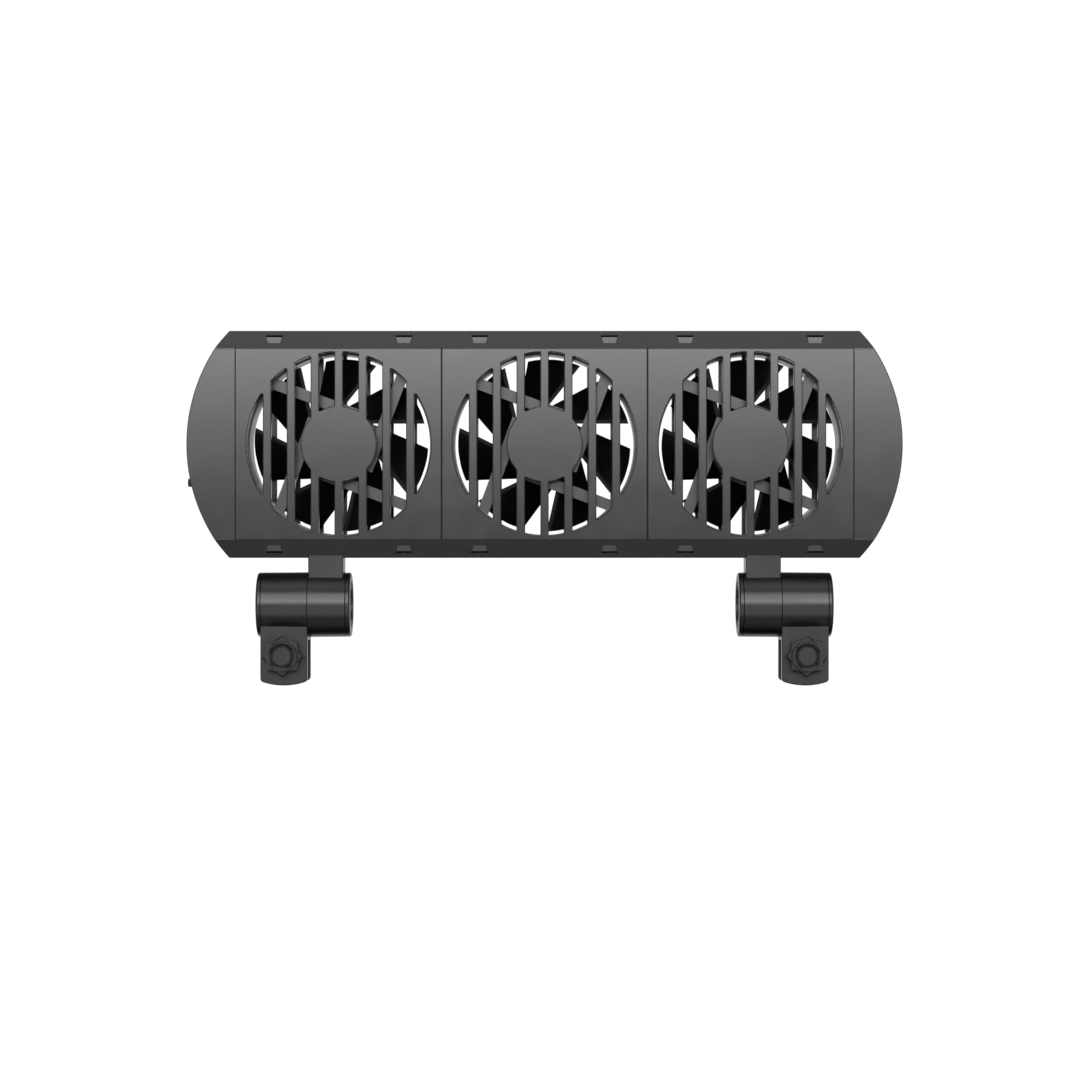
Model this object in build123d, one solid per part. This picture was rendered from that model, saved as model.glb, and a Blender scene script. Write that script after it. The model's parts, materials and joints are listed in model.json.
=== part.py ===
"""Clip-on aquarium cooling fan bar: three 75 mm axial fans in a slotted housing,
hung on the tank's rim by two screw clamps on tilting friction hinges.

Frame: millimetres. +X runs along the bar, the front (air outlet) faces -Y, +Z is up.
The origin lies midway between the clamps, in the plane of the hinge axis,
at the height of the seats that rest on the rim of the tank.
"""

import os
from math import cos, hypot, pi, radians, sin, sqrt

from build123d import *

# ---- driving dimensions: housing -------------------------------------------------
HINGE_Z = 14.2             # hinge axis above the rim seats
BODY_DROP = 64.5           # hinge axis below the middle of the housing
BODY_Z = HINGE_Z + BODY_DROP
FRONT_Y = -11.0            # front plane of the housing, ahead of the hinge axis
BODY_DEPTH = 27.0
BACK_Y = FRONT_Y + BODY_DEPTH

PITCH_X = 82.4             # fan to fan, and the width of one module
FAN_X = (-PITCH_X, 0.0, PITCH_X)
SEAM_GAP = 0.04            # between neighbouring modules and end caps
CAP_SEAM_X = 1.5 * PITCH_X

HALF_H = 45.6              # half height of the housing
FACE_HALF_H = 38.0         # half height of the flat front face
SLOPE_DEPTH = 4.5          # how far the sloped strips run back
WALL = 2.0
FRONT_T = 2.4              # front wall and grille bars
SHELL_DEPTH = 21.0         # front shell ends, rear cover begins
REAR_T = 2.4
SIDE_T = 1.6               # side walls between modules

END_RADIUS = 70.3          # plan radius of the rounded ends
END_REACH_X = 143.35

GRILLE_R = 36.9
HUB_COVER_R = 15.2
BAR_W = 3.35
BAR_PITCH = 9.55
BAR_COUNT = 7
COLLAR_T = 1.2
POST_R = 3.4               # posts behind the front wall that take the fan screws
POST_HOLE_R = 1.3

SNAP_X = 26.0              # snap windows either side of a fan's middle
SNAP_W = 6.9               # width of a window at its outer edge
SNAP_TAPER = 0.9           # taken off each side at its inner edge
SNAP_LOW = 40.35           # the windows' extent above the middle of the housing
SNAP_HIGH = 43.75
HOOK_GAP = 0.12            # between a hook and its window
HOOK_TOP = 42.85           # the hook stops short of the window's outer edge
ARM_TOP = 42.6             # snap arms run back inside the wall
ARM_BOTTOM = 41.4
ARM_FRONT = 5.6            # depth where an arm meets its hook
HOOK_PROFILE = (           # depth behind the front, and height above the middle
    (1.75, SNAP_LOW + HOOK_GAP),
    (1.93, 41.3),
    (2.03, 42.1),
    (2.1, HOOK_TOP),
    (4.6, HOOK_TOP),
    (ARM_FRONT, ARM_TOP),
    (ARM_FRONT, ARM_BOTTOM),
    (3.2, SNAP_LOW + HOOK_GAP),
)
SEAM_CHAMFER = 0.35        # on the front face between two modules
CAP_SEAM_CHAMFER = 0.06    # and beside an end cap
LIP_CHAMFER = 0.35         # front edges of the bars and openings
SLOT_CORNER_R = 0.45

# ---- driving dimensions: fan ----------------------------------------------------
FAN_SIZE = 75.0
FAN_FRONT = 8.0            # depth of the fan's front face behind the housing's
FAN_DEPTH = 15.0
FAN_BORE_R = 36.3
FAN_TUBE_R = 37.45
FLANGE_T = 2.4
FAN_CORNER_R = 4.0
FAN_HOLE = 33.5            # fixing holes from the fan's middle
FAN_HOLE_R = 1.9
STRUT_W = 4.5
STRUT_T = 2.4
STRUT_OFFSET = 13.7        # strut centre line to fan axis
STRUT_ANGLE = -20.5
BASE_R = 15.2
BASE_T = 1.6
BOARD_R = 13.2
BOARD_FRONT = 9.65         # depths of the motor board's faces
BOARD_BACK = 10.45
CHIPS = (                  # place on the board, width, height and thickness
    (6.5, 5.5, 3.0, 2.6, 0.6),
    (-7.2, 4.4, 2.0, 1.2, 0.5),
    (-6.4, -5.6, 2.8, 1.6, 0.6),
)
BEARING_R = 3.0
BEARING_BORE_R = 1.03
SHAFT_R = 1.0

ROTOR_FRONT = 11.6         # depths of the rotor's front and rear
ROTOR_REAR = 22.0
HUB_R = 15.5
HUB_BORE_R = 14.15
BLADE_COUNT = 7
BLADE_TIP_R = 35.0
BLADE_REAR = 21.4
GAP_ANGLE = 360 / BLADE_COUNT
BLADE_STATIONS = (         # share of the blade's run, bow towards the leading edge, thickness
    (0.0, 0.0, 1.5),
    (0.3, 0.035, 2.5),
    (0.65, 0.035, 2.5),
    (1.0, 0.0, 1.2),
)
LEADING = ((21.3, 4.9), -23.7)       # a point on the upper edge and its slope
TRAILING_HEIGHT = 8.6                # the lower edge is level, one blade further on
STATOR_FRONT = 12.5
STATOR_REAR = 16.5
POLES = 4

# ---- driving dimensions: hinges and clamps ---------------------------------------
BARREL_R = 13.1
BARREL_END_R = 12.95       # the barrel tapers slightly from its middle seam to its ends
BARREL_IN_X = 77.9
BARREL_OUT_X = 115.6
BARREL_SEAM_X = 95.0
NECK_X0 = 80.9
NECK_X1 = 94.94
NECK_HALF_T = 7.0
HINGE_BORE_R = 2.0
FLANGE_X = 13.0            # the bracket's flange inside the housing: half length,
FLANGE_Y = (-5.0, 7.5)     # front and rear edges, and thickness
FLANGE_H = 1.5
BARREL_ROUND = 0.9         # on the outer ends of the barrel
GROOVE_IN = 1.9            # groove to the barrel's end
GROOVE_HALF_W = 0.35
GROOVE_DEPTH = 0.25
SEAM_BEVEL = 0.12          # on the edges where the two halves meet
CAP_SEAT_R = 9.4
CAP_SEAT_DEPTH = 1.6
NUT_R = 4.6
NUT_H = 3.2
WASHER_R = 7.4
WASHER_SEAT = 0.9
WASHER_T = 0.97
HEAD_R = 4.2
HEAD_H = 2.4
HEAD_X = BARREL_OUT_X - CAP_SEAT_DEPTH - 3.2
JAW_PAD_T = 0.8
JAW_PAD_W = 14.0
JAW_PAD_H = 10.4
JAW_CHAMFER = 0.35
JAW_CORNER_R = 1.6
CLAMP_X0 = 95.06
CLAMP_X1 = 113.85
PLATE_FRONT_Y = -9.8
PLATE_BACK_Y = -5.9
JAW_FRONT_Y = 5.1
JAW_BACK_Y = 8.7
JAW_CORNER_Z = HINGE_Z - 30.5
JAW_MIDDLE_Z = HINGE_Z - 32.2
SCREW_X = 104.7
SCREW_Z = HINGE_Z - 20.3
BOSS_R = 9.0
BOSS_H = 0.4
PAD_POCKET_R = 6.0
PAD_POCKET_DEPTH = 1.6

THREAD_R = 2.45
THREAD_ROOT_R = 2.0
THREAD_PITCH = 1.5
THREAD_HOLE_R = 2.5
KNOB_BACK_Y = -11.3
KNOB_FRONT_Y = -17.3
KNOB_FLANGE_T = 3.4
KNOB_TIP_R = 8.3
KNOB_VALLEY_R = 7.0
KNOB_LOBES = 8
KNOB_RIM_R = 6.3
KNOB_CUP_R = 5.1           # the round well narrows from here
KNOB_WELL_R = 4.0          # to here at its floor
KNOB_WELL_DEPTH = 1.2
KNOB_CENTRE_R = 3.8
PAD_FRONT_Y = -3.0
PAD_BACK_Y = -0.6
PAD_R = 5.6

# ---- driving dimensions: cable gland ---------------------------------------------
GLAND_Z = BODY_Z - 15.2
GLAND_Y = FRONT_Y + 13.5
GLAND_TIP_X = -144.25
GLAND_R = 1.7
GLAND_BORE_R = 1.1
GLAND_TIP_ROUND = 0.5

RUN_GAP = 0.05             # radial clearance of pins that turn
FIT_GAP = 0.02             # radial clearance of parts pressed together

# ---- driving dimensions: joining screws and wires --------------------------------
JOIN_Z = 40.3              # joining screws, above and below the fans
JOIN_Y = FRONT_Y + 17.8
JOIN_R = 1.25
JOIN_SHANK_R = 1.08
JOIN_HEAD_R = 2.2
JOIN_HEAD_H = 1.2
JOIN_REACH_CAP = 4.4       # past the side wall, into an end cap's pillar
JOIN_REACH_MODULE = 5.5    # past the side wall, into the next module
FAN_SCREW_R = 1.28
FAN_SCREW_L = 19.5
FAN_SCREW_HEAD_R = 2.6
FAN_SCREW_HEAD_H = 1.1
DRIVE_SLOT_W = 0.6
DRIVE_SLOT_DEPTH = 0.5
WIRE_Y = FRONT_Y + 12.6
WIRE_Z = 39.7              # middle of the wires above the middle of the housing
WIRE_SLOT_R = 2.4
BUS_R = 0.6
TAP_R = 0.4
BUS_STEP = 0.7             # half the distance between the two conductors
DROP_X = -126.2
DROP_STEP = 1.3
TAP_SIDE = -38.55          # taps run down beside a fan's frame
SPLICE_TOP = BODY_Z + 18.0
SPLICE_R = 1.1


# ---- helpers --------------------------------------------------------------------
def depth(d):
    """Y of a plane d behind the housing's front face."""
    return FRONT_Y + d


def slab(sketch, y0, y1):
    """Sketch in X and Z, extruded from y0 back to y1."""
    return extrude(Plane.XZ.offset(-y1) * sketch, y1 - y0)


def beam(sketch, x0, x1):
    """Sketch in Y and Z, extruded from x0 to x1."""
    return extrude(Plane.YZ.offset(x0) * sketch, x1 - x0)


def post(sketch, z0, z1):
    """Sketch in X and Y, extruded from z0 to z1."""
    return extrude(Plane.XY.offset(z0) * sketch, z1 - z0)


def disc_y(x, z, r, y0, y1):
    return slab(Pos(x, z) * Circle(r), y0, y1)


def disc_x(y, z, r, x0, x1):
    return beam(Pos(y, z) * Circle(r), x0, x1)


def block(x0, x1, y0, y1, z0, z1):
    middle = ((x0 + x1) / 2, (y0 + y1) / 2, (z0 + z1) / 2)
    return Pos(*middle) * Box(x1 - x0, y1 - y0, z1 - z0)


def save(shape, name):
    solids = shape.solids()
    whole = solids[0] if len(solids) == 1 else Compound(solids)
    export_step(whole, f"parts/{name}.step")


def mirrored(shape):
    return mirror(shape, about=Plane.YZ)


def wire_run(points, r):
    """Insulated wire: round runs with rounded corners."""
    run = None
    for start, end in zip(points, points[1:]):
        a, b = Vector(*start), Vector(*end)
        plane = Plane(origin=a, z_dir=b - a)
        piece = extrude(plane * Circle(r), (b - a).length)
        run = piece if run is None else run + piece
    for corner in points[1:-1]:
        run += Pos(*corner) * Sphere(r)
    return run


# ---- housing --------------------------------------------------------------------
def outer_profile():
    """Housing section in Y and Z: flat front with two sloped strips."""
    top = FRONT_Y + SLOPE_DEPTH
    points = [
        (FRONT_Y, BODY_Z - FACE_HALF_H),
        (FRONT_Y, BODY_Z + FACE_HALF_H),
        (top, BODY_Z + HALF_H),
        (BACK_Y, BODY_Z + HALF_H),
        (BACK_Y, BODY_Z - HALF_H),
        (top, BODY_Z - HALF_H),
    ]
    return make_face(Polyline(*points, close=True))


def inner_profile(back_y):
    """Space inside the walls, from the front wall back to back_y."""
    front = FRONT_Y + FRONT_T
    height = HALF_H - WALL
    slope = FRONT_Y + SLOPE_DEPTH + 1.2
    points = [
        (front, BODY_Z - FACE_HALF_H + 0.9),
        (front, BODY_Z + FACE_HALF_H - 0.9),
        (slope, BODY_Z + height),
        (back_y, BODY_Z + height),
        (back_y, BODY_Z - height),
        (slope, BODY_Z - height),
    ]
    return make_face(Polyline(*points, close=True))


def slots(x):
    """Openings of one grille: a round hole less its vertical bars and centre cover."""
    holes = Pos(x, BODY_Z) * Circle(GRILLE_R)
    for i in range(BAR_COUNT):
        offset = (i - (BAR_COUNT - 1) / 2) * BAR_PITCH
        holes -= Pos(x + offset, BODY_Z) * Rectangle(BAR_W, 2 * GRILLE_R + 2)
    holes -= Pos(x, BODY_Z) * Circle(HUB_COVER_R)
    return fillet(holes.vertices(), SLOT_CORNER_R)


def ring_y(x, z, r_out, r_in, y0, y1):
    return slab(Pos(x, z) * (Circle(r_out) - Circle(r_in)), y0, y1)


def module_ends(x):
    return x - PITCH_X / 2 + SEAM_GAP / 2, x + PITCH_X / 2 - SEAM_GAP / 2


def snap_sides():
    """Places of the four snap hooks of a module: X offset and side of the housing."""
    return [(sx * SNAP_X, side) for sx in (-1, 1) for side in (-1, 1)]


def snap_outline(x, side, top, inset):
    """Window in X and Z, or with an inset the hook in it: wider at its outer edge."""
    low, high = BODY_Z + side * (SNAP_LOW + inset), BODY_Z + side * top
    flare = SNAP_TAPER / (SNAP_HIGH - SNAP_LOW)
    narrow = SNAP_W / 2 - SNAP_TAPER + flare * inset - inset
    wide = SNAP_W / 2 - flare * (SNAP_HIGH - top) - inset
    points = [(x - narrow, low), (x + narrow, low), (x + wide, high), (x - wide, high)]
    return make_face(Polyline(*points, close=True))


def screw_corners():
    return [(sx * FAN_HOLE, sz * FAN_HOLE) for sx in (-1, 1) for sz in (-1, 1)]


def on_face_end(edge, x_end):
    """True for the upright edge of the flat front face at one end of a module."""
    return abs(edge.center().X - x_end) < 0.01 and abs(edge.center().Y - FRONT_Y) < 0.01


def front_shell(x):
    x0, x1 = module_ends(x)
    shell = beam(outer_profile(), x0, x1)
    for x_end in (x0, x1):
        rim = [e for e in shell.edges().filter_by(Axis.Z) if on_face_end(e, x_end)]
        shell = chamfer(rim, SEAM_CHAMFER if abs(x_end) < PITCH_X else CAP_SEAM_CHAMFER)
    shell -= beam(inner_profile(BACK_Y + 1), x0 + SIDE_T, x1 - SIDE_T)
    shell -= block(x0 - 1, x1 + 1, depth(SHELL_DEPTH), BACK_Y + 1, BODY_Z - 50, BODY_Z + 50)
    shell -= slab(slots(x), FRONT_Y - 1, depth(FRONT_T) + 1)
    lip = shell.faces().sort_by(Axis.Y)[0].inner_wires()
    shell = chamfer([e for wire in lip for e in wire.edges()], LIP_CHAMFER)
    shell += ring_y(x, BODY_Z, GRILLE_R + COLLAR_T, GRILLE_R, depth(FRONT_T), depth(FAN_FRONT))
    for dx, dz in screw_corners():
        boss = disc_y(x + dx, BODY_Z + dz, POST_R, depth(FRONT_T), depth(FAN_FRONT))
        shell += boss - disc_y(x, BODY_Z, GRILLE_R, FRONT_Y, BACK_Y)
        shell -= disc_y(x + dx, BODY_Z + dz, POST_HOLE_R, depth(FRONT_T + 0.6), depth(FAN_FRONT))
    for dx, side in snap_sides():
        shell -= slab(snap_outline(x + dx, side, SNAP_HIGH, 0), FRONT_Y, depth(7.5))
    for side in (-1, 1):
        z = BODY_Z + side * JOIN_Z
        shell -= disc_x(JOIN_Y, z, JOIN_R + 0.1, x0 - 1, x1 + 1)
    shell -= disc_x(WIRE_Y, BODY_Z + WIRE_Z, WIRE_SLOT_R, x0 - 1, x1 + 1)
    if x:
        shell -= neck_slot(x)
    return shell


def neck_slot(x):
    """Opening for a hinge neck in the floor of an outer module, with its screw holes."""
    side = 1 if x > 0 else -1
    a, b = sorted((side * (NECK_X0 - 0.1), side * (NECK_X1 + 0.1)))
    t = NECK_HALF_T + 0.1
    slot = block(a, b, -t, t, BODY_Z - HALF_H - 1, BODY_Z - HALF_H + WALL + 1)
    for dx in (-1, 1):
        screw_x = side * neck_screw_x(dx)
        floor = BODY_Z - HALF_H + WALL
        slot += post(Pos(screw_x, 0) * Circle(0.9), floor - 1.4, floor + 1)
    return slot


def rear_grille(x):
    x0, x1 = module_ends(x)
    cover = beam(outer_profile(), x0, x1)
    back = cover.edges().filter_by(lambda e: abs(e.center().Y - BACK_Y) < 0.01)
    cover = chamfer(back, 1.0)
    cover -= block(x0 - 1, x1 + 1, FRONT_Y - 1, depth(SHELL_DEPTH) + 0.05, BODY_Z - 50, BODY_Z + 50)
    height = HALF_H - WALL
    cover -= block(x0 + SIDE_T, x1 - SIDE_T, FRONT_Y, BACK_Y - REAR_T, BODY_Z - height, BODY_Z + height)
    cover -= slab(slots(x), BACK_Y - REAR_T - 1, BACK_Y + 1)
    rear_lip = cover.faces().sort_by(Axis.Y)[-1].inner_wires()
    cover = chamfer([e for wire in rear_lip for e in wire.edges()], LIP_CHAMFER)
    collar_front = depth(FAN_FRONT + FAN_DEPTH) + 0.05
    cover += ring_y(x, BODY_Z, GRILLE_R + COLLAR_T, GRILLE_R, collar_front, BACK_Y - REAR_T)
    for dx, side in snap_sides():
        cover += snap_arm(x + dx, side)
    return cover


def snap_arm(x, side):
    """Arm from the rear cover along the inside of the wall, with a hook in its window."""
    half = SNAP_W / 2 - 0.25
    low, high = sorted((BODY_Z + side * ARM_BOTTOM, BODY_Z + side * ARM_TOP))
    arm = block(x - half, x + half, depth(ARM_FRONT - 0.4), BACK_Y - REAR_T, low, high)
    points = [(depth(d), BODY_Z + side * z) for d, z in HOOK_PROFILE]
    head = beam(make_face(Polyline(*points, close=True)), x - half, x + half)
    return arm + (head & slab(snap_outline(x, side, HOOK_TOP, HOOK_GAP), FRONT_Y, depth(ARM_FRONT)))


def end_outline(inset):
    """Plan of a right-hand end cap in X and Z: straight seam, rounded outer side."""
    centre = END_REACH_X - END_RADIUS
    r = END_RADIUS - inset
    seam = CAP_SEAM_X + SEAM_GAP / 2
    window = Pos((seam + END_REACH_X + 5) / 2, BODY_Z) * Rectangle(END_REACH_X + 5 - seam, 2 * HALF_H + 2)
    return (Pos(centre, BODY_Z) * Circle(r)) & window


def end_cap():
    """Right-hand end cap: a deep cup, open towards the outer module."""
    seam = CAP_SEAM_X + SEAM_GAP / 2
    cup = beam(outer_profile(), seam, END_REACH_X + 1) & slab(end_outline(0), FRONT_Y - 1, BACK_Y + 1)
    front = [e for e in cup.edges() if abs(e.center().Y - FRONT_Y) < 0.3]
    cup = chamfer(front, 0.4)
    back = [e for e in cup.edges() if abs(e.center().Y - BACK_Y) < 0.3]
    cup = chamfer(back, 0.8)
    hollow = beam(inner_profile(BACK_Y - WALL), seam - 1, END_REACH_X + 1)
    cup -= hollow & slab(end_outline(WALL), FRONT_Y - 1, BACK_Y + 1)
    for side in (-1, 1):
        z = BODY_Z + side * JOIN_Z
        across = sorted((z - side * 2.6, z + side * 3.4))
        pillar = block(seam, seam + 5, JOIN_Y - 2.6, JOIN_Y + 2.6, *across)
        cup += pillar & beam(outer_profile(), seam, END_REACH_X) & slab(end_outline(0.5), FRONT_Y, BACK_Y)
        cup -= disc_x(JOIN_Y, z, JOIN_R - 0.15, seam - 1, seam + 4.6)
    return cup


def gland_seat():
    """Hole for the cable gland through the left end wall."""
    return disc_x(GLAND_Y, GLAND_Z, GLAND_R + 0.05, GLAND_TIP_X - 1, -END_REACH_X + 8)


def cable_gland():
    """Rubber gland: a rounded snout outside and a collar inside the end wall."""
    wall_in = -(END_REACH_X - END_RADIUS) - sqrt((END_RADIUS - WALL) ** 2 - (BODY_Z - GLAND_Z) ** 2)
    collar_x = wall_in + 0.9
    snout = disc_x(GLAND_Y, GLAND_Z, GLAND_R, GLAND_TIP_X, collar_x + 0.5)
    tip = [e for e in snout.edges() if e.center().X < GLAND_TIP_X + 0.01]
    snout = fillet(tip, GLAND_TIP_ROUND)
    gland = snout + disc_x(GLAND_Y, GLAND_Z, 3.4, collar_x, collar_x + 1.6)
    return gland - disc_x(GLAND_Y, GLAND_Z, GLAND_BORE_R, GLAND_TIP_X - 1, collar_x + 3)


# ---- fans -----------------------------------------------------------------------
def rotated_about_fan(shape, x, angle):
    """Turned about a fan's axis, clockwise as seen from the front for positive angles."""
    return Pos(x, 0, BODY_Z) * Rot(0, angle, 0) * Pos(-x, 0, -BODY_Z) * shape


def strut(x):
    """One strut from the motor base to the ring, tangent to a circle about the axis."""
    reach = sqrt((FAN_BORE_R + 0.6) ** 2 - STRUT_OFFSET**2)
    inner = 6.0
    length = reach + inner
    place = Pos(x, BODY_Z) * Rot(0, 0, STRUT_ANGLE) * Pos(-(reach - inner) / 2, STRUT_OFFSET)
    return slab(place * Rectangle(length, STRUT_W), depth(FAN_FRONT), depth(FAN_FRONT + STRUT_T))


def beside_strut(x, s0, s1):
    """Place in X and Z on the first strut's centre line, midway from s0 to s1 along it."""
    return Pos(x, BODY_Z) * Rot(0, 0, STRUT_ANGLE) * Pos((s0 + s1) / 2, STRUT_OFFSET)


def strut_point(x, s, offset=0.0):
    """X and Z of a point s along the first strut and offset beyond its centre line."""
    a = radians(STRUT_ANGLE)
    out = STRUT_OFFSET + offset
    return x + s * cos(a) - out * sin(a), BODY_Z + s * sin(a) + out * cos(a)


def fan_frame(x):
    y0, y1 = depth(FAN_FRONT), depth(FAN_FRONT + FAN_DEPTH)
    square = Pos(x, BODY_Z) * RectangleRounded(FAN_SIZE, FAN_SIZE, FAN_CORNER_R)
    frame = slab(square, y0, y0 + FLANGE_T) + slab(square, y1 - FLANGE_T, y1)
    frame += disc_y(x, BODY_Z, FAN_TUBE_R, y0, y1)
    for dx, dz in screw_corners():
        frame += disc_y(x + dx, BODY_Z + dz, 3.5, y0, y1)
    frame -= disc_y(x, BODY_Z, FAN_BORE_R, y0 - 1, y1 + 1)
    for dx, dz in screw_corners():
        frame -= disc_y(x + dx, BODY_Z + dz, FAN_HOLE_R, y0 - 1, y1 + 1)
    for k in range(4):
        frame += rotated_about_fan(strut(x), x, 90 * k)
    frame -= disc_y(x, BODY_Z, BOARD_R + 0.4, y0 + BASE_T, y0 + STRUT_T + 1)
    frame += disc_y(x, BODY_Z, BASE_R, y0, y0 + BASE_T)
    notch = beside_strut(x, -(FAN_TUBE_R + 1.5), -(FAN_BORE_R - 5)) * Rectangle(8, 2.6)
    frame -= slab(notch, y0 + FLANGE_T, y0 + FLANGE_T + 1.2)
    frame += disc_y(x, BODY_Z, BEARING_R + 1.1, y0, depth(18.6))
    frame -= disc_y(x, BODY_Z, BEARING_R, depth(9.4), depth(19))
    frame -= disc_y(x - 5, BODY_Z - 10.5, 1.6, y0 - 1, y0 + BASE_T + 0.01)
    return frame


def bearing(x):
    ring = ring_y(x, BODY_Z, BEARING_R - FIT_GAP, BEARING_BORE_R, depth(10.6), depth(18.4))
    return chamfer(ring.edges().filter_by(GeomType.CIRCLE), 0.25)


def shaft(x):
    pin = disc_y(x, BODY_Z, SHAFT_R, depth(9.9), depth(21.4))
    ends = pin.edges().filter_by(GeomType.CIRCLE)
    return chamfer(ends, 0.25)


def motor_board(x):
    board = ring_y(x, BODY_Z, BOARD_R, BEARING_R + 1.2, depth(BOARD_FRONT), depth(BOARD_BACK))
    for dx, dz, width, height, t in CHIPS:
        chip = Pos(x + dx, BODY_Z + dz) * Rectangle(width, height)
        board += slab(chip, depth(BOARD_BACK), depth(BOARD_BACK + t))
    return board


def stator_core(x):
    """Laminated core: a ring with four T-shaped poles."""
    core = Circle(5.6) - Circle(BEARING_R + 1.12)
    for k in range(POLES):
        arm = Pos(7.6, 0) * Rectangle(5.5, 2.6)
        shoe = (Circle(11.9) - Circle(10.3)) & (Pos(11.2, 0) * Rectangle(6, 13.2))
        core += Rot(0, 0, 45 + k * 360 / POLES) * (arm + shoe)
    return slab(Pos(x, BODY_Z) * core, depth(STATOR_FRONT), depth(STATOR_REAR))


def stator_windings(x):
    """Four coils, one round each pole's arm, with the arm's channel left free."""
    coil = block(5.75, 9.7, -2.9, 2.9, -3.1, 3.1)
    coil = fillet(coil.edges().filter_by(Axis.X), 0.8)
    coil -= block(5, 11, -2.02, 2.02, -1.32, 1.32)
    middle = depth((STATOR_FRONT + STATOR_REAR) / 2)
    pieces = []
    for k in range(POLES):
        turned = Rot(0, 45 + k * 360 / POLES, 0) * coil
        pieces.append(Pos(x, middle, BODY_Z) * turned)
    return Compound(pieces)


def rotor_magnet(x):
    return ring_y(x, BODY_Z, HUB_BORE_R - FIT_GAP, 12.5, depth(ROTOR_FRONT + 0.4), depth(18.6))


def on_line(point, slope_angle, r):
    """Where a line through a point at a given angle crosses radius r, furthest along."""
    px, pz = point
    ux, uz = cos(radians(slope_angle)), sin(radians(slope_angle))
    b = px * ux + pz * uz
    c = px * px + pz * pz - r * r
    t = -b + sqrt(b * b - c)
    return px + t * ux, pz + t * uz


def blade_edge_lines():
    """Leading and trailing edges of one blade in the plane of rotation, hub to tip."""
    turn = radians(-GAP_ANGLE)
    inner, outer = HUB_BORE_R + 0.55, BLADE_TIP_R + 1.2
    lead = [on_line(*LEADING, r) for r in (inner, outer)]
    level = [(sqrt(r * r - TRAILING_HEIGHT**2), TRAILING_HEIGHT) for r in (inner, outer)]
    trail = [(px * cos(turn) - pz * sin(turn), px * sin(turn) + pz * cos(turn)) for px, pz in level]
    return lead, trail


def blade_section(share, camber, width, y):
    """Slice of a blade at one depth: a thin strip from hub to tip."""
    lead, trail = blade_edge_lines()
    share_here = share + camber
    a, b = [
        (t[0] + (l[0] - t[0]) * share_here, t[1] + (l[1] - t[1]) * share_here)
        for l, t in zip(lead, trail)
    ]
    length = hypot(b[0] - a[0], b[1] - a[1])
    nx, nz = -(b[1] - a[1]) / length, (b[0] - a[0]) / length
    low, high = -width * share, width * (1 - share)
    corners = [
        (a[0] + nx * low, a[1] + nz * low),
        (b[0] + nx * low, b[1] + nz * low),
        (b[0] + nx * high, b[1] + nz * high),
        (a[0] + nx * high, a[1] + nz * high),
    ]
    return Plane.XZ.offset(-y) * make_face(Polyline(*corners, close=True))


def impeller(x):
    """Seven swept blades round a cup that holds the magnet; turns about Y."""
    first = depth(ROTOR_FRONT)
    run = depth(BLADE_REAR) - first
    sections = [blade_section(s, c, w, first + run * s) for s, c, w in BLADE_STATIONS]
    blade = loft(sections)
    rotor = disc_y(0, 0, HUB_R, depth(ROTOR_FRONT), depth(ROTOR_REAR))
    rim = [e for e in rotor.edges() if e.center().Y > depth(ROTOR_REAR) - 0.01]
    rotor = fillet(rim, 1.2)
    for k in range(BLADE_COUNT):
        rotor += Rot(0, k * GAP_ANGLE, 0) * blade
    rotor &= disc_y(0, 0, BLADE_TIP_R, depth(ROTOR_FRONT), depth(ROTOR_REAR))
    rotor -= disc_y(0, 0, HUB_BORE_R, depth(ROTOR_FRONT) - 1, depth(20.5))
    rotor += disc_y(0, 0, 2.6, depth(18.9), depth(20.6))
    rotor -= disc_y(0, 0, SHAFT_R + 0.01, depth(18), depth(21.4))
    return Pos(x, 0, BODY_Z) * rotor


# ---- fasteners and wiring inside the housing --------------------------------------
def pan_screw_y(x, z, head_y, length, r, head_r, head_h):
    """Screw along Y whose head lies at the rear and whose point looks forward."""
    screw = disc_y(x, z, r, head_y - length, head_y)
    screw += disc_y(x, z, head_r, head_y, head_y + head_h)
    long, half = head_r * 0.7, DRIVE_SLOT_W / 2
    cross = Pos(x, z) * (Rectangle(2 * long, 2 * half) + Rectangle(2 * half, 2 * long))
    return screw - slab(cross, head_y + head_h - DRIVE_SLOT_DEPTH, head_y + head_h + 1)


def fan_screws():
    """Self-tapping screws from behind each fan into the posts of the front shells."""
    rear = depth(FAN_FRONT + FAN_DEPTH)
    screws = []
    for x in FAN_X:
        for dx, dz in screw_corners():
            place = (x + dx, BODY_Z + dz, rear + FIT_GAP)
            screws.append(pan_screw_y(*place, FAN_SCREW_L, FAN_SCREW_R, FAN_SCREW_HEAD_R, FAN_SCREW_HEAD_H))
    return Compound(screws)


def joining_screws():
    """Short screws through the side walls: module to module and module to end cap."""
    screws = []
    for seam in (-1.5, -0.5, 0.5, 1.5):
        for side in (-1, 1):
            x = seam * PITCH_X
            out = 1 if seam > 0 else -1
            head = x - out * (SIDE_T + SEAM_GAP / 2 + FIT_GAP)
            top = head - out * JOIN_HEAD_H
            z = BODY_Z + side * JOIN_Z
            reach = JOIN_REACH_CAP if abs(seam) > 1 else JOIN_REACH_MODULE
            shank = disc_x(JOIN_Y, z, JOIN_SHANK_R, *sorted((head, head + out * (SIDE_T + reach))))
            cap = disc_x(JOIN_Y, z, JOIN_HEAD_R, *sorted((top, head)))
            slot = Pos(JOIN_Y, z) * Rectangle(1.4 * JOIN_HEAD_R, DRIVE_SLOT_W)
            ends = sorted((top - out * 0.1, top + out * DRIVE_SLOT_DEPTH))
            screws.append(shank + cap - beam(slot, *ends))
    return Compound(screws)


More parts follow.
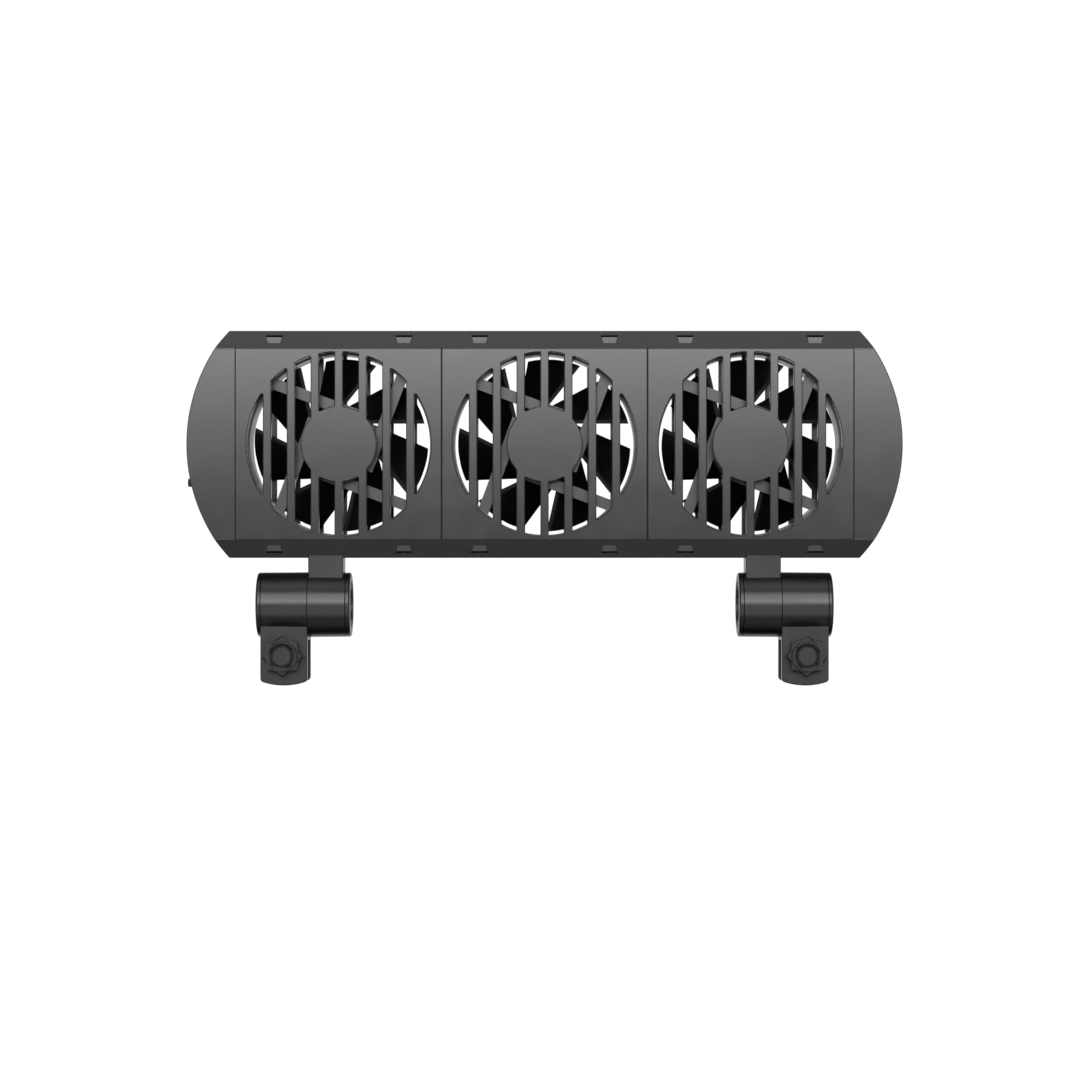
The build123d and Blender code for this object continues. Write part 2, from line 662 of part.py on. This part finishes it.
def conductor(sign):
    """One conductor: along the top channel, a tap to each motor, a drop in the left cap."""
    z = BODY_Z + WIRE_Z + sign * BUS_STEP
    y = WIRE_Y + sign * BUS_STEP
    drop_x = DROP_X + sign * DROP_STEP
    side_x = PITCH_X + TAP_SIDE
    bus = wire_run([(drop_x, y, SPLICE_TOP), (drop_x, y, z), (side_x, y, z)], BUS_R)
    strut_y = depth(FAN_FRONT + STRUT_T + 0.55)
    for x in FAN_X:
        offset = sign * 0.55
        near_x, near_z = strut_point(x, sign * 1.2, offset)
        slope = sin(radians(STRUT_ANGLE)) / cos(radians(STRUT_ANGLE))
        tap_x = x + TAP_SIDE + sign * 0.45
        corner_z = near_z + (tap_x - near_x) * slope
        end_x, end_z = x + (near_x - x) * 0.86, BODY_Z + (near_z - BODY_Z) * 0.86
        bus += Pos(tap_x, y, z) * Sphere(BUS_R)
        points = [
            (tap_x, y, z),
            (tap_x, y, corner_z),
            (tap_x, strut_y, corner_z),
            (near_x, strut_y, near_z),
            (end_x, strut_y, end_z),
        ]
        bus += wire_run(points, TAP_R)
    return bus


def wire_splices():
    """Two crimped sleeves in the left end cap, where the cord's cores join the leads."""
    sleeves = []
    for sign in (-1, 1):
        place = Pos(DROP_X + sign * DROP_STEP, WIRE_Y + sign * BUS_STEP)
        sleeve = post(place * Circle(SPLICE_R), SPLICE_TOP - 11, SPLICE_TOP - 0.02)
        ends = sleeve.edges().filter_by(GeomType.CIRCLE)
        sleeves.append(fillet(ends, 0.4))
    return Compound(sleeves)


# ---- hinges ---------------------------------------------------------------------
def neck_screw_x(dx):
    """Bracket screws either side of the neck, inside the housing."""
    return (NECK_X0 + NECK_X1) / 2 + dx * 10.0


def barrel(x0, x1, end_x):
    """Length of hinge barrel with a rounded outer end and a fine groove beside it."""
    r0, r1 = (BARREL_END_R, BARREL_R) if end_x == x0 else (BARREL_R, BARREL_END_R)
    profile = make_face(Polyline((x0, 0), (x0, r0), (x1, r1), (x1, 0), close=True))
    inward = 1 if end_x == x0 else -1
    groove_x = end_x + inward * GROOVE_IN
    groove = Polyline(
        (groove_x - GROOVE_HALF_W, BARREL_R + 0.1),
        (groove_x, BARREL_END_R - GROOVE_DEPTH),
        (groove_x + GROOVE_HALF_W, BARREL_R + 0.1),
        close=True,
    )
    seam_x = x1 if end_x == x0 else x0
    bevel = Polyline(
        (seam_x, BARREL_R + 0.1),
        (seam_x, BARREL_R - SEAM_BEVEL),
        (seam_x - inward * (SEAM_BEVEL + 0.1), BARREL_R + 0.1),
        close=True,
    )
    profile = profile - make_face(groove) - make_face(bevel)
    body = Pos(0, 0, HINGE_Z) * revolve(Plane.XZ * profile, Axis.X, 360)
    rim = [
        e
        for e in body.edges().filter_by(GeomType.CIRCLE)
        if abs(e.center().X - end_x) < 0.01 and e.radius > BARREL_END_R - 0.5
    ]
    return fillet(rim, BARREL_ROUND)


def neck_bracket():
    """Right-hand bracket: flange inside the housing, neck, inner half of the barrel."""
    floor = BODY_Z - HALF_H + WALL
    middle = (NECK_X0 + NECK_X1) / 2
    bracket = block(NECK_X0, NECK_X1, -NECK_HALF_T, NECK_HALF_T, HINGE_Z, floor + 0.5)
    bracket = fillet(bracket.edges().filter_by(Axis.Z), 0.5)
    bracket += block(middle - FLANGE_X, middle + FLANGE_X, *FLANGE_Y, floor + FIT_GAP, floor + FLANGE_H)
    for dx in (-1, 1):
        bracket -= post(Pos(neck_screw_x(dx), 0) * Circle(1.2), floor, floor + 3)
    half = barrel(BARREL_IN_X, BARREL_SEAM_X - 0.05, BARREL_IN_X)
    bracket += half
    bracket -= disc_x(0, HINGE_Z, CAP_SEAT_R, BARREL_IN_X - 1, BARREL_IN_X + CAP_SEAT_DEPTH)
    bracket -= disc_x(0, HINGE_Z, HINGE_BORE_R + 0.03, BARREL_IN_X, BARREL_SEAM_X + 1)
    nut = Pos(0, HINGE_Z) * RegularPolygon(NUT_R + 0.05, 6)
    bracket -= beam(nut, BARREL_IN_X, BARREL_IN_X + CAP_SEAT_DEPTH + NUT_H + 0.1)
    bracket -= disc_x(0, HINGE_Z, WASHER_R + 0.15, BARREL_SEAM_X - 0.05 - WASHER_SEAT, BARREL_SEAM_X + 1)
    return bracket


def friction_washer():
    """Disc between the barrel halves that gives the hinge its drag."""
    back = BARREL_SEAM_X - 0.05 - WASHER_SEAT
    washer = disc_x(0, HINGE_Z, WASHER_R, back + 0.01, back + WASHER_T)
    return washer - disc_x(0, HINGE_Z, HINGE_BORE_R + 0.2, back - 1, back + 2)


def hinge_nut():
    x0 = BARREL_IN_X + CAP_SEAT_DEPTH + 0.05
    nut = beam(Pos(0, HINGE_Z) * RegularPolygon(NUT_R, 6), x0, x0 + NUT_H)
    return nut - disc_x(0, HINGE_Z, HINGE_BORE_R + FIT_GAP, x0 - 1, x0 + NUT_H + 1)


def hinge_screw():
    """Screw on the hinge axis: head in the clamp's half, end in the nut."""
    tip = BARREL_IN_X + CAP_SEAT_DEPTH + 0.2
    screw = disc_x(0, HINGE_Z, HINGE_BORE_R, tip, HEAD_X)
    screw += disc_x(0, HINGE_Z, HEAD_R, HEAD_X, HEAD_X + HEAD_H)
    socket = beam(Pos(0, HINGE_Z) * RegularPolygon(1.7, 6), HEAD_X + HEAD_H - 1.4, HEAD_X + HEAD_H + 1)
    return screw - socket


def end_disc(x0, x1, proud_x):
    """Press-in cover of a barrel end: flat disc with a raised rim."""
    cover = disc_x(0, HINGE_Z, CAP_SEAT_R - FIT_GAP, x0, x1)
    rim = [e for e in cover.edges() if abs(e.center().X - proud_x) < 0.01]
    cover = chamfer(rim, 0.35)
    out = 1 if proud_x == x1 else -1
    dish = sorted((proud_x - out * 0.5, proud_x + out))
    return cover - disc_x(0, HINGE_Z, CAP_SEAT_R - 2.2, *dish)


def neck_cap():
    return end_disc(BARREL_IN_X + 0.35, BARREL_IN_X + CAP_SEAT_DEPTH - FIT_GAP, BARREL_IN_X + 0.35)


def clamp_cap():
    return end_disc(BARREL_OUT_X - CAP_SEAT_DEPTH + FIT_GAP, BARREL_OUT_X - 0.35, BARREL_OUT_X - 0.35)


def bracket_screws():
    """Four short screws that hold the two brackets to the housing's floor."""
    floor = BODY_Z - HALF_H + WALL
    screws = []
    for side in (-1, 1):
        for dx in (-1, 1):
            x = side * neck_screw_x(dx)
            screw = post(Pos(x, 0) * Circle(0.88), floor - 1.3, floor + 1.52)
            screw += post(Pos(x, 0) * Circle(2.0), floor + 1.52, floor + 2.7)
            screw -= block(x - 1.4, x + 1.4, -0.3, 0.3, floor + 2.2, floor + 3)
            screws.append(screw)
    return Compound(screws)


# ---- clamps ---------------------------------------------------------------------
def jaw_outline():
    """Front view of the clamp plates: straight sides, bowed lower edge."""
    middle = (CLAMP_X0 + CLAMP_X1) / 2
    left_top, right_top = (CLAMP_X0, HINGE_Z), (CLAMP_X1, HINGE_Z)
    left, right = (CLAMP_X0, JAW_CORNER_Z), (CLAMP_X1, JAW_CORNER_Z)
    lines = Line(left, left_top) + Line(left_top, right_top) + Line(right_top, right)
    lines += ThreePointArc(right, (middle, JAW_MIDDLE_Z), left)
    return make_face(lines)


def clamp_jaw():
    """Right-hand clamp: outer half of the barrel, rim seat, front plate, rear jaw."""
    jaw = slab(jaw_outline(), PLATE_FRONT_Y, JAW_BACK_Y)
    corners = [e for e in jaw.edges().filter_by(Axis.Y) if e.center().Z < HINGE_Z - 20]
    jaw = fillet(corners, JAW_CORNER_R)
    jaw -= block(CLAMP_X0 - 1, CLAMP_X1 + 1, PLATE_BACK_Y, JAW_FRONT_Y, JAW_MIDDLE_Z - 1, 0)
    for y in (PLATE_FRONT_Y, JAW_BACK_Y):
        below = jaw.edges().filter_by(lambda e: e.center().Z < HINGE_Z - 1)
        jaw = chamfer(below.filter_by(lambda e: abs(e.center().Y - y) < 0.01), JAW_CHAMFER)
    jaw += disc_y(SCREW_X, SCREW_Z, BOSS_R, PLATE_FRONT_Y - BOSS_H, PLATE_FRONT_Y + 0.5)
    sides = slab(jaw_outline(), PLATE_FRONT_Y - 2, JAW_BACK_Y + 1)
    jaw &= sides
    jaw -= block(CLAMP_X0 - 1, CLAMP_X1 + 1, -20, 20, HINGE_Z, HINGE_Z + 5)
    jaw += barrel(BARREL_SEAM_X + 0.04, BARREL_OUT_X, BARREL_OUT_X)
    jaw -= disc_x(0, HINGE_Z, CAP_SEAT_R, BARREL_OUT_X - CAP_SEAT_DEPTH, BARREL_OUT_X + 1)
    jaw -= disc_x(0, HINGE_Z, HEAD_R + 0.2, HEAD_X - 0.1, BARREL_OUT_X + 1)
    jaw -= disc_x(0, HINGE_Z, HINGE_BORE_R + RUN_GAP, BARREL_SEAM_X - 1, BARREL_OUT_X)
    jaw -= disc_y(SCREW_X, SCREW_Z, THREAD_HOLE_R, PLATE_FRONT_Y - 2, PLATE_BACK_Y + 1)
    jaw -= disc_y(SCREW_X, SCREW_Z, PAD_POCKET_R, PLATE_BACK_Y - PAD_POCKET_DEPTH, PLATE_BACK_Y + 1)
    return jaw


def jaw_pad():
    """Flat rubber pad on the fixed jaw, where it bears on the glass."""
    middle = (CLAMP_X0 + CLAMP_X1) / 2
    outline = Pos(middle, SCREW_Z) * RectangleRounded(JAW_PAD_W, JAW_PAD_H, 1.5)
    return slab(outline, JAW_FRONT_Y - JAW_PAD_T, JAW_FRONT_Y - 0.01)


def pressure_pad():
    """Disc on the screw's tip that bears on the glass; its socket holds the tip."""
    pad = disc_y(SCREW_X, SCREW_Z, PAD_R, PAD_FRONT_Y, PAD_BACK_Y)
    pad = chamfer(pad.edges().filter_by(GeomType.CIRCLE), 0.3)
    pad -= disc_y(SCREW_X, SCREW_Z, 1.95, PAD_FRONT_Y + 0.6, PAD_BACK_Y - 0.5)
    return pad - disc_y(SCREW_X, SCREW_Z, 1.5, PAD_FRONT_Y - 1, PAD_FRONT_Y + 1)


def knob_outline():
    """Eight-pointed star with straight flanks and rounded points."""
    points = []
    for k in range(KNOB_LOBES):
        for step, r in ((0.0, KNOB_TIP_R), (0.5, KNOB_VALLEY_R)):
            angle = 2 * pi * (k + step) / KNOB_LOBES
            points.append((r * cos(angle), r * sin(angle)))
    star = Polygon(*points, align=None)
    tips = [v for v in star.vertices() if hypot(v.X, v.Y) > KNOB_VALLEY_R + 0.5]
    return fillet(tips, 0.5)


def thumb_screw():
    """Knob and threaded shank; the tip is held in the pressure pad's socket."""
    flange_y = KNOB_BACK_Y - KNOB_FLANGE_T
    place = Pos(SCREW_X, SCREW_Z)
    knob = slab(place * knob_outline(), flange_y, KNOB_BACK_Y)
    knob = chamfer([e for e in knob.edges() if abs(e.center().Y - flange_y) < 0.01], 0.5)
    knob = chamfer([e for e in knob.edges() if abs(e.center().Y - KNOB_BACK_Y) < 0.01], 0.4)
    knob += knob_boss(flange_y + 0.5)
    return knob + shank()


def knob_boss(back_y):
    """Round boss of the knob: rounded rim, a well that narrows, and a flat centre."""
    front, floor = KNOB_FRONT_Y, KNOB_FRONT_Y + KNOB_WELL_DEPTH
    outline = [
        (0, back_y),
        (KNOB_RIM_R, back_y),
        (KNOB_RIM_R, front + 0.6),
        (KNOB_RIM_R - 0.2, front + 0.18),
        (KNOB_RIM_R - 0.5, front),
        (KNOB_CUP_R + 0.3, front),
        (KNOB_CUP_R, front + 0.25),
        (KNOB_WELL_R, floor),
        (KNOB_CENTRE_R, floor),
        (KNOB_CENTRE_R, front + 0.8),
        (KNOB_CENTRE_R - 0.3, front + 0.5),
        (0, front + 0.5),
    ]
    turned = revolve(make_face(Polyline(*outline, close=True)), Axis.Y, 360)
    return Pos(SCREW_X, 0, SCREW_Z) * turned


def shank():
    """Threaded shank drawn as rings of the thread's pitch, with a headed tip."""
    start, end = KNOB_BACK_Y - 1, PAD_FRONT_Y - 0.7
    y = start
    outline = [(0, start), (THREAD_ROOT_R, start)]
    while y + THREAD_PITCH < end:
        outline += [
            (THREAD_ROOT_R, y + 0.25 * THREAD_PITCH),
            (THREAD_R, y + 0.5 * THREAD_PITCH),
            (THREAD_R, y + 0.62 * THREAD_PITCH),
            (THREAD_ROOT_R, y + 0.87 * THREAD_PITCH),
        ]
        y += THREAD_PITCH
    outline += [(THREAD_ROOT_R, end), (1.3, end), (1.3, PAD_FRONT_Y + 0.75), (1.75, PAD_FRONT_Y + 0.75)]
    outline += [(1.75, PAD_BACK_Y - 0.7), (0, PAD_BACK_Y - 0.7)]
    profile = make_face(Polyline(*outline, close=True))
    turned = revolve(profile, Axis.Y, 360)
    return Pos(SCREW_X, 0, SCREW_Z) * turned


# ---- build and write --------------------------------------------------------------
def write_pair(name, shape):
    save(shape, f"{name}_right")
    save(mirrored(shape), f"{name}_left")


def main():
    os.makedirs("parts", exist_ok=True)
    makers = (
        ("front_shell", front_shell),
        ("rear_grille", rear_grille),
        ("fan_frame", fan_frame),
        ("bearing", bearing),
        ("shaft", shaft),
        ("motor_board", motor_board),
        ("stator_core", stator_core),
        ("stator_windings", stator_windings),
        ("rotor_magnet", rotor_magnet),
        ("impeller", impeller),
    )
    for number, x in enumerate(FAN_X, start=1):
        for name, maker in makers:
            save(maker(x), f"{name}_{number}")
    cap = end_cap()
    save(cap, "end_cap_right")
    save(mirrored(cap) - gland_seat(), "end_cap_left")
    save(cable_gland(), "cable_gland")
    save(fan_screws(), "fan_screws")
    save(joining_screws(), "joining_screws")
    save(bracket_screws(), "bracket_screws")
    save(conductor(-1), "supply_wires")
    save(conductor(1), "return_wires")
    save(wire_splices(), "wire_splices")
    write_pair("neck_bracket", neck_bracket())
    write_pair("neck_cap", neck_cap())
    write_pair("hinge_nut", hinge_nut())
    write_pair("hinge_screw", hinge_screw())
    write_pair("friction_washer", friction_washer())
    write_pair("clamp_jaw", clamp_jaw())
    write_pair("clamp_cap", clamp_cap())
    write_pair("jaw_pad", jaw_pad())
    write_pair("pressure_pad", pressure_pad())
    write_pair("thumb_screw", thumb_screw())


main()
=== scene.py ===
"""Looks for the clip-on aquarium cooling fan bar: materials, studio and camera around the CAD frame."""

import json
import math

import bpy
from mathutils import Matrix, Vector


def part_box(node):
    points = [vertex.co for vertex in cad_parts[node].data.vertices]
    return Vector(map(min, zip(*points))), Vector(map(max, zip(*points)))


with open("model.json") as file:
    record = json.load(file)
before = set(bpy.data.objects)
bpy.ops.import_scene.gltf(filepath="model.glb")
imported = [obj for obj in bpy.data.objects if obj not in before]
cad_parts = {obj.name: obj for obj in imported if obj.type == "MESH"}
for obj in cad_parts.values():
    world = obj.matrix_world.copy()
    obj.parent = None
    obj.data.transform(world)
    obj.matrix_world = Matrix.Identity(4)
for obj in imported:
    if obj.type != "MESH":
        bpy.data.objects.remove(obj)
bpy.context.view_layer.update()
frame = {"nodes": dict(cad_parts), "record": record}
nodes = frame["nodes"]

MM = 0.001

# ---- places read from the frame ---------------------------------------------------
shell_low, shell_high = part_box("front_shell_2")
FRONT_Y = shell_low.y
BODY_X = (shell_low.x + shell_high.x) / 2
BODY_Z = (shell_low.z + shell_high.z) / 2

# ---- camera ------------------------------------------------------------------------
CAMERA_BACK = 1100 * MM      # from the front plane of the housing to the camera
CAMERA_LEFT = 2.02 * MM      # camera left of the middle of the housing
CAMERA_DROP = 38.2 * MM      # camera height below the middle of the housing
SENSOR_MM = 36.0
LENS_MM = 91.75

# ---- studio ------------------------------------------------------------------------
FLOOR_DROP = 0.35            # floor below the middle of the housing, metres
FLOOR_SIZE = 12
FLOOR_GREY = 0.9
BACKDROP_STRENGTH = 1.05     # seen by the camera only
PANEL_BACK = 1.24            # from the housing's front plane to the front light panel, metres


def camera():
    data = bpy.data.cameras.new("camera")
    data.sensor_width = SENSOR_MM
    data.lens = LENS_MM
    data.clip_start = 0.01
    data.clip_end = 50
    cam = bpy.data.objects.new("camera", data)
    cam.location = (BODY_X - CAMERA_LEFT, FRONT_Y - CAMERA_BACK, BODY_Z - CAMERA_DROP)
    cam.rotation_euler = (math.radians(90), 0, 0)
    bpy.context.collection.objects.link(cam)
    bpy.context.scene.camera = cam


def area_light(name, place, target, size, watts):
    data = bpy.data.lights.new(name, "AREA")
    data.shape = "RECTANGLE"
    data.size, data.size_y = size
    data.energy = watts
    light = bpy.data.objects.new(name, data)
    light.location = place
    direction = Vector(target) - Vector(place)
    light.rotation_euler = direction.to_track_quat("-Z", "Y").to_euler()
    light.visible_camera = False
    bpy.context.collection.objects.link(light)
    return light


# Front light panel: two dim tall sheets, with a bright band between them that fades.
# Brightness is radiance; heights are from the middle of the housing, in metres.
BAND_WIDTH = 1.3
LOWER_SHEET = (3.0, -0.58, 0.86, 1.3)      # width, middle height, how tall, brightness
UPPER_SHEET = (1.6, 0.68, 0.80, 4.4)
BAND_HEIGHT = 0.20
BAND_BRIGHTNESS = 10.5
BAND_SPREAD = 0.105
BAND_ROW = 0.05
BAND_ROWS = 9
BACK_BRIGHTNESS = 0.8
BACK_UPPER_BRIGHTNESS = 2.5
SIDE_BRIGHTNESS = 0.9
BOTTOM_BRIGHTNESS = 0.3
TOP_BRIGHTNESS = 1.0


def panel(name, width, height, tall, brightness):
    """Part of the front panel, level and facing the object."""
    y = FRONT_Y - PANEL_BACK
    place, target = (BODY_X, y, BODY_Z + height), (BODY_X, 0, BODY_Z + height)
    area_light(name, place, target, (width, tall), brightness * math.pi * width * tall)


def lights():
    panel("lower_sheet", *LOWER_SHEET)
    panel("upper_sheet", *UPPER_SHEET)
    for i in range(BAND_ROWS):
        height = BAND_HEIGHT + (i - (BAND_ROWS - 1) / 2) * BAND_ROW
        fade = math.exp(-(((height - BAND_HEIGHT) / BAND_SPREAD) ** 2))
        panel(f"front_band_{i}", BAND_WIDTH, height, BAND_ROW, BAND_BRIGHTNESS * fade)
    middle = (BODY_X, 0, BODY_Z)
    for name, place, size, brightness in (
        ("top_light", (BODY_X, -0.35, BODY_Z + 1.0), (1.4, 0.7), TOP_BRIGHTNESS),
        ("bottom_light", (BODY_X, -0.45, BODY_Z - 0.7), (1.4, 0.9), BOTTOM_BRIGHTNESS),
        ("back_light", (BODY_X, 1.3, BODY_Z), (3.0, 3.0), BACK_BRIGHTNESS),
        ("back_upper_light", (BODY_X, 1.0, BODY_Z + 1.1), (2.4, 0.7), BACK_UPPER_BRIGHTNESS),
        ("left_light", (BODY_X - 1.5, 0, BODY_Z), (1.6, 1.6), SIDE_BRIGHTNESS),
        ("right_light", (BODY_X + 1.5, 0, BODY_Z), (1.6, 1.6), SIDE_BRIGHTNESS),
    ):
        area_light(name, place, middle, size, brightness * math.pi * size[0] * size[1])


def stage():
    bpy.ops.mesh.primitive_plane_add(size=1)
    floor = bpy.context.object
    floor.name = "floor"
    floor.scale = (FLOOR_SIZE, FLOOR_SIZE, 1)
    floor.location = (0, 0, BODY_Z - FLOOR_DROP)
    material = bpy.data.materials.new("floor_white")
    material.use_nodes = True
    shader = material.node_tree.nodes["Principled BSDF"]
    shader.inputs["Base Color"].default_value = (FLOOR_GREY, FLOOR_GREY, FLOOR_GREY, 1)
    shader.inputs["Roughness"].default_value = 0.8
    shader.inputs["Emission Color"].default_value = (1, 1, 1, 1)
    shader.inputs["Emission Strength"].default_value = 1.0
    floor.data.materials.append(material)
    floor.visible_glossy = False
    floor.visible_diffuse = False
    world = bpy.data.worlds.new("studio")
    bpy.context.scene.world = world
    world.use_nodes = True
    background = world.node_tree.nodes["Background"]
    background.inputs["Color"].default_value = (1, 1, 1, 1)
    background.inputs["Strength"].default_value = BACKDROP_STRENGTH
    world.cycles_visibility.diffuse = False
    world.cycles_visibility.glossy = False
    world.cycles_visibility.transmission = False
    bpy.context.scene.view_settings.view_transform = "Standard"
    bpy.context.scene.view_settings.look = "None"


# ---- materials ---------------------------------------------------------------------
class Graph:
    """Short names for building a material's node tree."""

    def __init__(self, name):
        self.material = bpy.data.materials.new(name)
        self.material.use_nodes = True
        self.tree = self.material.node_tree
        self.shader = self.tree.nodes["Principled BSDF"]
        self.coords = self.tree.nodes.new("ShaderNodeTexCoord")

    def node(self, kind, **inputs):
        made = self.tree.nodes.new(kind)
        for key, value in inputs.items():
            made.inputs[key.replace("_", " ")].default_value = value
        return made

    def link(self, a, b):
        self.tree.links.new(a, b)

    def noise(self, size_mm, detail=3.0, rough=0.5, stretch=(1, 1, 1)):
        """Noise whose blobs are about size_mm across, as a 0 to 1 value."""
        mapping = self.tree.nodes.new("ShaderNodeMapping")
        mapping.inputs["Scale"].default_value = stretch
        self.link(self.coords.outputs["Object"], mapping.inputs["Vector"])
        noise = self.node("ShaderNodeTexNoise", Scale=1 / (size_mm * MM), Detail=detail, Roughness=rough)
        self.link(mapping.outputs["Vector"], noise.inputs["Vector"])
        return noise.outputs["Fac"]

    def between(self, factor, low, high):
        """Maps a 0 to 1 value to low to high."""
        mapped = self.node("ShaderNodeMapRange")
        mapped.inputs["From Min"].default_value = 0.3
        mapped.inputs["From Max"].default_value = 0.7
        mapped.inputs["To Min"].default_value = low
        mapped.inputs["To Max"].default_value = high
        self.link(factor, mapped.inputs["Value"])
        return mapped.outputs["Result"]

    def tint(self, factor, dark, light):
        ramp = self.tree.nodes.new("ShaderNodeValToRGB")
        ramp.color_ramp.elements[0].position = 0.3
        ramp.color_ramp.elements[1].position = 0.7
        ramp.color_ramp.elements[0].color = (*dark, 1)
        ramp.color_ramp.elements[1].color = (*light, 1)
        self.link(factor, ramp.inputs["Fac"])
        return ramp.outputs["Color"]

    def bump(self, *layers):
        """Adds bumps, each a height value and its depth in millimetres."""
        last = None
        for height, depth_mm in layers:
            made = self.node("ShaderNodeBump", Strength=1.0, Distance=depth_mm * MM)
            self.link(height, made.inputs["Height"])
            if last is not None:
                self.link(last.outputs["Normal"], made.inputs["Normal"])
            last = made
        self.link(last.outputs["Normal"], self.shader.inputs["Normal"])


def shade(grey, tilt=0.0):
    """A near-neutral grey, a little bluer for a positive tilt."""
    return (grey * (1 - tilt), grey, grey * (1 + tilt))


def plastic(name, grey, rough, grain_mm=0.35, grain_depth=0.002, specular=0.5, wave_depth=0.02):
    """Moulded plastic: fine eroded grain, faint sink waves, slight change of gloss."""
    g = Graph(name)
    blotch = g.noise(38, detail=2)
    grain = g.noise(grain_mm, detail=2, rough=0.6)
    wave = g.noise(26, detail=1)
    colour = g.tint(blotch, shade(grey * 0.93, 0.01), shade(grey * 1.06, 0.02))
    g.link(colour, g.shader.inputs["Base Color"])
    g.link(g.between(g.noise(9, detail=4), rough * 0.92, rough * 1.09), g.shader.inputs["Roughness"])
    g.shader.inputs["Specular IOR Level"].default_value = specular
    g.bump((wave, wave_depth), (grain, grain_depth))
    return g.material


def metal(name, colour, rough, streak=(1, 1, 1), grain_mm=0.4):
    g = Graph(name)
    lines = g.noise(grain_mm, detail=4, stretch=streak)
    dark = tuple(c * 0.82 for c in colour)
    g.link(g.tint(g.noise(3, detail=3), dark, colour), g.shader.inputs["Base Color"])
    g.shader.inputs["Metallic"].default_value = 1.0
    g.link(g.between(lines, rough * 0.8, rough * 1.3), g.shader.inputs["Roughness"])
    g.bump((lines, 0.006))
    return g.material


def rubber(name, grey):
    g = Graph(name)
    colour = g.tint(g.noise(2.5, detail=4), shade(grey * 0.8), shade(grey * 1.2))
    g.link(colour, g.shader.inputs["Base Color"])
    g.link(g.between(g.noise(1.2), 0.62, 0.8), g.shader.inputs["Roughness"])
    g.bump((g.noise(0.25, detail=3), 0.02))
    return g.material


def coated_wire(name, colour):
    g = Graph(name)
    dark = tuple(c * 0.75 for c in colour)
    g.link(g.tint(g.noise(4, detail=2), dark, colour), g.shader.inputs["Base Color"])
    g.link(g.between(g.noise(1.5), 0.3, 0.45), g.shader.inputs["Roughness"])
    g.bump((g.noise(0.8), 0.01))
    return g.material


def windings(name):
    """Enamelled copper: fine turns side by side, with painted shade darkening the grooves between turns.
    """
    g = Graph(name)
    wave = g.tree.nodes.new("ShaderNodeTexWave")
    wave.inputs["Scale"].default_value = 1 / (1.1 * MM)
    wave.inputs["Distortion"].default_value = 0.6
    g.link(g.coords.outputs["Object"], wave.inputs["Vector"])
    # painted shade: the copper colour darkens in each groove between turns, where the bump height is low
    colour = g.tint(wave.outputs["Fac"], (0.35, 0.12, 0.04), (0.85, 0.38, 0.16))
    g.link(colour, g.shader.inputs["Base Color"])
    g.shader.inputs["Metallic"].default_value = 1.0
    g.link(g.between(g.noise(1), 0.25, 0.4), g.shader.inputs["Roughness"])
    g.bump((wave.outputs["Fac"], 0.08))
    return g.material


def circuit_board(name):
    """Solder mask with faint tracks."""
    g = Graph(name)
    tracks = g.node("ShaderNodeTexVoronoi", Scale=1 / (2.4 * MM))
    tracks.feature = "DISTANCE_TO_EDGE"
    g.link(g.coords.outputs["Object"], tracks.inputs["Vector"])
    colour = g.tint(tracks.outputs["Distance"], (0.03, 0.16, 0.06), (0.02, 0.08, 0.03))
    g.link(colour, g.shader.inputs["Base Color"])
    g.link(g.between(g.noise(2), 0.3, 0.42), g.shader.inputs["Roughness"])
    g.bump((tracks.outputs["Distance"], 0.02))
    return g.material


def materials():
    """One material for each slot of the record."""
    return {
        "housing_plastic": plastic("housing_plastic", 0.02, 0.2),
        "fan_frame_plastic": plastic("fan_frame_plastic", 0.035, 0.3),
        "hinge_plastic": plastic("hinge_plastic", 0.006, 0.29, grain_depth=0.001),
        "cap_plastic": plastic("cap_plastic", 0.008, 0.26),
        "knob_plastic": plastic("knob_plastic", 0.012, 0.26),
        "pad_plastic": plastic("pad_plastic", 0.02, 0.5),
        # rotor plastic: partly the blades' own black, partly painted shade; it is made near black with
        # low reflection so the lit blade sides stay dark
        "rotor_plastic": plastic("rotor_plastic", 0.002, 0.4, specular=0.12),
        "splice_sleeve": plastic("splice_sleeve", 0.01, 0.45),
        "rubber": rubber("rubber", 0.02),
        "friction_fibre": rubber("friction_fibre", 0.12),
        "magnet": rubber("magnet", 0.06),
        "steel": metal("steel", (0.62, 0.61, 0.6), 0.28),
        "laminated_steel": metal("laminated_steel", (0.35, 0.35, 0.36), 0.4, streak=(0.1, 4, 0.1)),
        "bearing_bronze": metal("bearing_bronze", (0.55, 0.36, 0.18), 0.4),
        "copper_wire": windings("copper_wire"),
        "circuit_board": circuit_board("circuit_board"),
        "red_insulation": coated_wire("red_insulation", (0.55, 0.02, 0.02)),
        "black_insulation": coated_wire("black_insulation", (0.02, 0.02, 0.02)),
    }


def dress_nodes():
    made = materials()
    slots = {part["node"]: part["material_slot"] for part in frame["record"]["subparts"]}
    for name, node in nodes.items():
        node.data.materials.clear()
        node.data.materials.append(made[slots[name]])
        for face in node.data.polygons:
            face.material_index = 0


camera()
lights()
stage()
dress_nodes()
